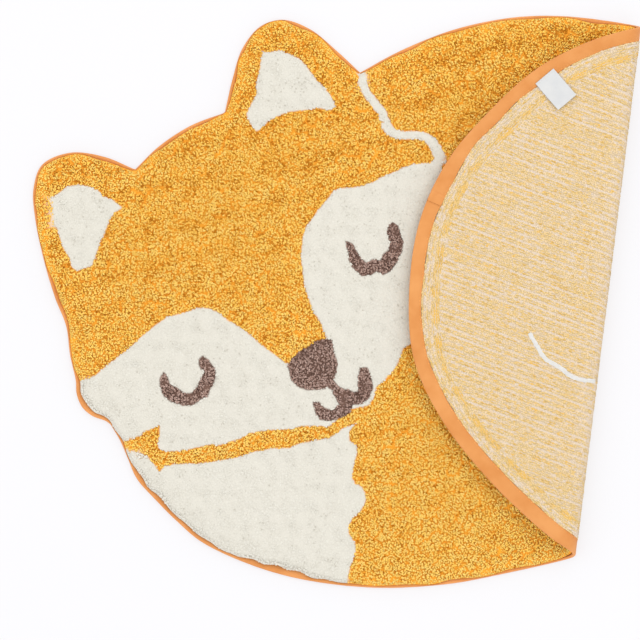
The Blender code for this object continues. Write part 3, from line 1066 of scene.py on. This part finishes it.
def pile():
    """The yarn ends, as joined pieces for each colour."""
    rng = np.random.default_rng(11)
    roots, distance, index, lower, pressed = seen_roots(rng)
    count = len(roots)
    way, reach, toward_edge, rise, at_edge = yarn_ways(roots, distance, index, rng)
    sideways = turned_left(way)
    curl = rng.normal(0, YARN_CURL, count) * MM
    flat = (
        roots[:, None]
        + way[:, None] * (reach[:, None] * REACH_SHARES)[:, :, None]
        + sideways[:, None] * (curl[:, None] * CURL_SHARES)[:, :, None]
    )
    colours = colour_at(flat[:, 1])
    cream = colours == CREAM
    for end in (0, 2):
        stray = colour_at(flat[:, end]) != colours
        flat[stray, end] = 0.7 * flat[stray, 1] + 0.3 * flat[stray, end]
    calm = np.where(cream, CREAM_CALM, 1.0 - 0.7 * pressed)
    sunken = sunken_ends(roots, pressed, rng)
    inset = distance[:, None] - (reach * toward_edge)[:, None] * REACH_SHARES
    top = np.interp(inset, *PILE_TOP) + (LUMP * ripple(roots, LUMP_LENGTH, seed=7) * calm)[:, None]
    top += (rise * calm)[:, None] - np.where(lower, 0, FLAP_DROP)[:, None]
    top -= (sunken * calm * SUNKEN_DROP * MM)[:, None]
    bowing = rng.uniform(0.5, 1.5, count) * np.where(cream, 0.4, 1.0 - 0.5 * pressed)
    depth = top - TIP_DROPS * bowing[:, None] - YARN_RADIUS * 0.3
    depth[:, 0] = np.minimum(ROOT_DEPTH, depth[:, 1] - LEAST_FOOT)
    sizes = YARN_RADIUS * rng.uniform(0.85, 1.15, count)
    sizes = np.where(cream, CREAM_THICKER * sizes, sizes)
    radii = sizes[:, None] * RADIUS_SHARES
    levels = yarn_tones(roots, rise, at_edge, sunken, rng)
    pieces = []
    for colour, name in ((ORANGE, "pile_orange"), (CREAM, "pile_cream"), (BROWN, "pile_brown")):
        of_it = np.flatnonzero(colours == colour)
        chosen = of_it[np.argsort(roots[of_it, 0], kind="stable")]
        first = 1 if colour == CREAM else 0  # the foot of the cream yarn is inside its base
        pieces += tube_pieces(
            name, flat[chosen, first:], depth[chosen, first:], -sideways[chosen],
            radii[chosen, first:], YARN_FLATNESS[colour], levels[chosen], YARNS[colour],
            sharp=colour == CREAM,
        )
    return pieces


# ---- the back ----


def stitch_row_places(rng):
    """The middle, heading, tone and half length of every stitch on the flap and round the bend."""
    heading = np.array([math.cos(ROW_TILT), math.sin(ROW_TILT)])
    over = turned_left(heading)
    middle = FOLD_POINT + ROWS_MIDDLE * ACROSS
    last_row = round(ROWS_SPAN / ROW_PITCH)
    found = []
    for row in range(-last_row, last_row):
        length = STITCH_LENGTH * rng.uniform(0.85, 1.15)
        steps = np.arange(-ROWS_SPAN + rng.uniform(0, length), ROWS_SPAN, length)
        steps = steps + rng.normal(0, STITCH_UNEVENNESS, len(steps))
        points = middle + over * row * ROW_PITCH + steps[:, None] * heading
        if row % 3 == 0:
            strength = rng.uniform(*PALE_STRENGTH) + 0.1 * ripple(points, 40 * MM, seed=35)
            tones = PALE_ROW_TONE - strength + rng.normal(0, 0.1, len(points))
        else:
            tones = ROW_TONE + rng.normal(0, 0.16, len(points))
        found.append((points, tones, np.full(len(points), length * STITCH_OVERLAP)))
    middles, tones, halves = (np.concatenate(parts) for parts in zip(*found))
    keep = edge_distance(middles)[0] > FIRST_INNER_ROW
    keep &= across_fold(middles) > FIRST_STITCH_IN_BEND
    headings = np.broadcast_to(heading, middles.shape)
    return tuple(a[keep] for a in (middles, headings, tones, halves))


def edge_row_places(rng):
    """The same for the rows that follow the outline inside the tape."""
    length = (len(OUTLINE) - 1) * OUTLINE_STEP
    found = []
    for inset, tone in EDGE_ROWS.items():
        narrowing = (TAPE_INNER - TAPE_WIDTH) * (FIRST_INNER_ROW - inset * MM) / TAPE_WIDTH
        ring = OUTLINE + INWARD * (inset * MM + narrowing)[:, None]
        steps = np.arange(rng.uniform(0, STITCH_LENGTH), length, STITCH_LENGTH * 0.95)
        index = (steps / OUTLINE_STEP).astype(int)
        mottle = ripple(ring[index], 14 * MM, seed=36) * (0.26 if tone > 0.6 else 0.1)
        tones = tone + mottle + rng.normal(0, 0.18, len(index))
        halves = np.full(len(index), STITCH_LENGTH * STITCH_OVERLAP)
        found.append((ring[index], ring_headings(ring, index, 3), tones, halves))
    places = [np.concatenate(parts) for parts in zip(*found)]
    keep = across_fold(places[0]) > FIRST_STITCH_IN_BEND
    return tuple(a[keep] for a in places)


def haunch_row_places(rng):
    """The same for the white line, in rows of its own that follow it."""
    path = smooth_run(HAUNCH_LINE)
    steps = np.linspace(0, len(path) - 1, HAUNCH_STITCHES + 2)[1:-1].astype(int)
    heading = unit(path[steps + 1] - path[steps - 1])
    offsets = np.array(HAUNCH_ROWS)[:, None, None] * turned_left(heading) * MM
    middles = (path[steps] + offsets).reshape(-1, 2)
    headings = np.tile(heading, (len(HAUNCH_ROWS), 1))
    tones = 0.6 + rng.normal(0, 0.2, len(middles))
    return middles, headings, tones, np.full(len(middles), HAUNCH_STITCH_HALF)


def back_stitches():
    """The rows of stitches on the back, and the white line over them."""
    rng = np.random.default_rng(31)
    rows = [np.concatenate(pair) for pair in zip(stitch_row_places(rng), edge_row_places(rng))]
    groups = (
        ("back_stitches", rows, STITCH_YARN, 0.0),
        ("haunch_stitches", haunch_row_places(rng), WHITE_YARN, HAUNCH_LIFT),
    )
    pieces = []
    for name, places, material, lift in groups:
        bare = ~under_label(places[0])
        middles, headings, tones, halves = (a[bare] for a in places)
        count = len(middles)
        over = turned_left(headings)
        flat = middles[:, None] + headings[:, None] * (halves[:, None] * [-1.0, 0.0, 1.0])[:, :, None]
        flat = flat + over[:, None] * rng.normal(0, STITCH_WANDER, (count, 3))[:, :, None]
        bend = ease(1 - abs(across_fold(middles) - FLAP_START / 2) / BEND_REACH)
        uneven = 0.06 * rng.normal(size=count) + 0.25 * bend * ripple(middles, 7 * MM, seed=34)
        outward = STITCH_BOW + lift + uneven[:, None] * MM
        radii = STITCH_RADIUS * rng.uniform(0.9, 1.15, (count, 1)) * np.array([0.7, 1.0, 0.7])
        # Stitches round the bend are made paler: painted light on the fold's rounded edge
        levels = tone_levels(tones + 0.04 * ripple(middles, 16 * MM, seed=33) - 0.18 * bend)
        pieces += tube_pieces(
            name, flat, -outward, -over, radii, STITCH_FLATNESS, levels, material,
            sharp=True,
        )
    return pieces


# ---- the binding ----


def binding():
    """The tape as a closed ring: flat on the back, turned up round the edge as a lumpy rim."""
    ring, inward, rim = (a[::TAPE_STEP] for a in (OUTLINE, INWARD, RIM))
    size = len(ring)
    pucker = ripple(ring, 9 * MM, seed=41)
    inner = TAPE_INNER[::TAPE_STEP] + PUCKER * ripple(ring, 24 * MM, seed=42)
    high = RIM_HEIGHT + PUCKER * pucker
    section = [
        (inner - 0.5 * MM, -0.05 * MM),
        (inner, 0.4 * MM),
        (inner, 1.0 * MM),
        (inner - 0.4 * MM, TAPE_THICKNESS),
        (rim, TAPE_THICKNESS),
        (rim, high - 1.2 * MM),
        (rim - 0.7 * MM, high - 0.4 * MM),
        (rim * 0.5, high),
        (1.1 * MM, high - 0.3 * MM),
        (0.3 * MM, high - 1.1 * MM),
        (0.0 * MM, high - 2.2 * MM),
        (0.15 * MM, 1.0 * MM),
        (0.9 * MM, 0.15 * MM),
        (2.2 * MM, -0.02 * MM),
        (0.5 * inner, 0.05 * MM + 0.06 * MM * pucker),
    ]
    rows = len(section)
    insets, depths = (np.array([np.broadcast_to(a, size) for a in parts]) for parts in zip(*section))
    lengths = np.hypot(np.diff(insets, axis=0), np.diff(depths, axis=0)).mean(axis=1)
    last_length = np.hypot(inner - insets[-1], depths[-1]).mean()
    widths = np.cumsum([0.0, *lengths, last_length])
    row, place, after = around(rows, size)
    start, end = row * size, (row + 1) % rows * size
    faces = np.stack([start + place, end + place, end + after, start + after], axis=1)
    near, far = (way * TAPE_STEP * OUTLINE_STEP for way in (place, place + 1))
    low, high = widths[row], widths[row + 1]
    piece = made_piece(
        "binding",
        fold((ring + inward * insets[:, :, None]).reshape(-1, 2), depths.ravel()),
        faces, [TAPE, LIT_RIM_TAPE],
        maps={"tape": np.stack([low, near, high, near, high, far, low, far], axis=1)},
        # The rim's rows take the tape's lighter copy: painted light
        face_materials=(row >= RIM_ROWS[0]) & (row <= RIM_ROWS[1]),
    )
    outward_normals(piece)
    return piece


def tape_join():
    """The tape's end, turned under and lapped over its beginning."""
    start = outline_place(JOIN_NEAR)
    size = (TAPE_WIDTH - 0.4 * MM, JOIN_LENGTH)

    def corner_of(u, v, lift):
        index = start - (v * JOIN_LENGTH / OUTLINE_STEP).round().astype(int)
        inset = 0.9 * MM + u * (TAPE_WIDTH - 0.6 * MM)
        height = JOIN_THICKNESS * ease(4 * (1 - v)) + lift
        return OUTLINE[index] + INWARD[index] * inset[:, None], -height

    return patch("tape_join", corner_of, 9, 12, 0.5 * MM, size, TAPE, "tape")


def tape_stitching():
    """The line of small stitches that holds the tape's inner edge down on the back."""
    rng = np.random.default_rng(51)
    steps = np.arange(0, len(OUTLINE) * OUTLINE_STEP - TAPE_STITCH_PITCH, TAPE_STITCH_PITCH)
    index = (steps / OUTLINE_STEP).astype(int)
    ring = OUTLINE + INWARD * (TAPE_INNER - TAPE_STITCH_INSET)[:, None]
    middles, heading = ring[index], ring_headings(ring, index, 2)
    keep = (across_fold(middles) > -BEND_RADIUS) & ~under_label(middles)
    middles, heading = middles[keep], heading[keep]
    return thread_stitches(
        "tape_stitching", middles, heading, turned_left(heading), 1.35 * MM,
        [0.25, -0.02, -0.02, 0.25], [0.14, 0.3, 0.3, 0.14],
        rng.integers(6, 11, len(middles)), THREAD,
    )


def join_seam_and_shade():
    """The line of stitches across the tape where its end is lapped over its beginning: a seam, in the
    darkest thread as painted shade of the lap's step.
    """
    start = outline_place(JOIN_NEAR)
    way = INWARD[start]
    insets = np.arange(1.6 * MM, TAPE_INNER[start] - 1.2 * MM, 2.1 * MM)
    middles = OUTLINE[start] + insets[:, None] * way - 0.3 * MM * turned_left(way)
    # Level 0, the thread's darkest tone: painted shade along the lap's step
    return thread_stitches(
        "join_seam_and_shade", middles, way, turned_left(way), 1.25 * MM,
        [0.1, -0.35, -0.35, 0.1], [0.3, 0.5, 0.5, 0.3],
        np.zeros(len(insets), int), THREAD,
    )


# ---- the label ----


def label_ways():
    """The label's sewn end, and the ways along and across it, in the flat plane."""
    place = outline_place(LABEL_NEAR)
    heading = math.atan2(INWARD[place, 1], INWARD[place, 0]) - LABEL_SKEW
    length_way = np.array([math.cos(heading), math.sin(heading)])
    root = OUTLINE[place] + INWARD[place] * (TAPE_WIDTH - LABEL_OVER_TAPE)
    return root, length_way, turned_left(length_way)


def under_label(points):
    """Which flat points lie under the label where it is close to the back."""
    root, length_way, width_way = label_ways()
    down, side = (points - root) @ length_way, (points - root) @ width_way
    return (down > -3 * MM) & (down < 0.72 * LABEL_LENGTH) & (abs(side) < LABEL_WIDTH / 2 + 1.5 * MM)


def label():
    """A loop of ribbon: two layers with a soft fold at the free end, sewn down at the other."""
    root, length_way, width_way = label_ways()
    size = (2 * LABEL_LENGTH, LABEL_WIDTH)
    straight = LABEL_LENGTH - LABEL_LOOP
    turn = math.pi * LABEL_LOOP

    def corner_of(u, v, lift):
        travelled = u * (2 * straight + turn)
        angle = np.clip((travelled - straight) / LABEL_LOOP, 0, math.pi)
        share = np.clip(np.where(angle > 0, 2 * straight + turn - travelled, travelled) / straight, 0, 1)
        radius = LABEL_LOOP * (0.35 + 0.65 * share)
        down = share * straight + (LABEL_LOOP + lift) * np.sin(angle)
        rise = 0.45 * MM + LABEL_LIFT * share**3 + 0.35 * MM * np.sin(v * math.pi) * share
        height = rise + LABEL_LOOP - (radius + lift) * np.cos(angle)
        side = (v - 0.5) * LABEL_WIDTH
        return root + down[:, None] * length_way + side[:, None] * width_way, -height

    return patch("label", corner_of, 61, 9, 0.22 * MM, size, RIBBON, "ribbon")


def label_stitches():
    """The short row of stitches across the label's sewn end."""
    root, length_way, width_way = label_ways()
    spots = np.linspace(-0.44, 0.44, 8) * LABEL_WIDTH
    middles = root + 2.2 * MM * length_way + spots[:, None] * width_way
    return thread_stitches(
        "label_stitches", middles, width_way, length_way, 1.3 * MM,
        [-0.9, -1.35, -1.35, -0.9], [0.16, 0.3, 0.3, 0.16],
        np.full(len(middles), TONE_LEVELS - 2), YARNS[CREAM],
    )


# ---- floor, light and camera ----


def floor():
    """A white floor that gives off a little light of its own."""
    finish = Finish("white floor", roughness=0.9)
    finish.set({"Base Color": FLOOR_COLOUR, "Emission Color": FLOOR_GLOW})
    finish.set({"Emission Strength": FLOOR_GLOW_STRENGTH})
    mesh = bpy.data.meshes.new("floor")
    half = FLOOR_WIDTH / 2
    corners = [(-half, -half), (half, -half), (half, half), (-half, half)]
    mesh.from_pydata([(x, y, FLOOR_HEIGHT) for x, y in corners], [], [(0, 1, 2, 3)])
    mesh.materials.append(finish.material)
    piece = linked("floor", mesh)


def light_and_camera():
    """Even light from all round, one soft lamp, and a camera straight above the flat plane's middle."""
    scene = bpy.context.scene
    scene.view_settings.view_transform = "Standard"
    scene.world = bpy.data.worlds.new("studio")
    scene.world.use_nodes = True
    sky = scene.world.node_tree.nodes["Background"].inputs
    sky["Color"].default_value = (1, 1, 1, 1)
    sky["Strength"].default_value = SKY_LIGHT
    light = bpy.data.lights.new("key", "AREA")
    light.shape = "DISK"
    light.size = LAMP_SIZE
    light.energy = LAMP_POWER
    lamp = linked("key", light)
    lamp.location = LAMP_PLACE
    lamp.rotation_euler = lamp.location.to_track_quat("Z", "Y").to_euler()
    view = bpy.data.cameras.new("camera")
    view.sensor_width = SENSOR_WIDTH
    view.lens = SENSOR_WIDTH * CAMERA_HEIGHT / SEEN_WIDTH
    scene.camera = linked("camera", view)
    scene.camera.location = (SHIFT[0], SHIFT[1], CAMERA_HEIGHT)


cloth = base_cloth()
tape = binding()
others = [*pile(), *back_stitches(), tape, tape_join(), *tape_stitching(), *join_seam_and_shade()]
ribbon = label()
others += [ribbon, *label_stitches()]
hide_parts("rug")
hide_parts("binding_tape")
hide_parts("sewn_label")
floor()
light_and_camera()
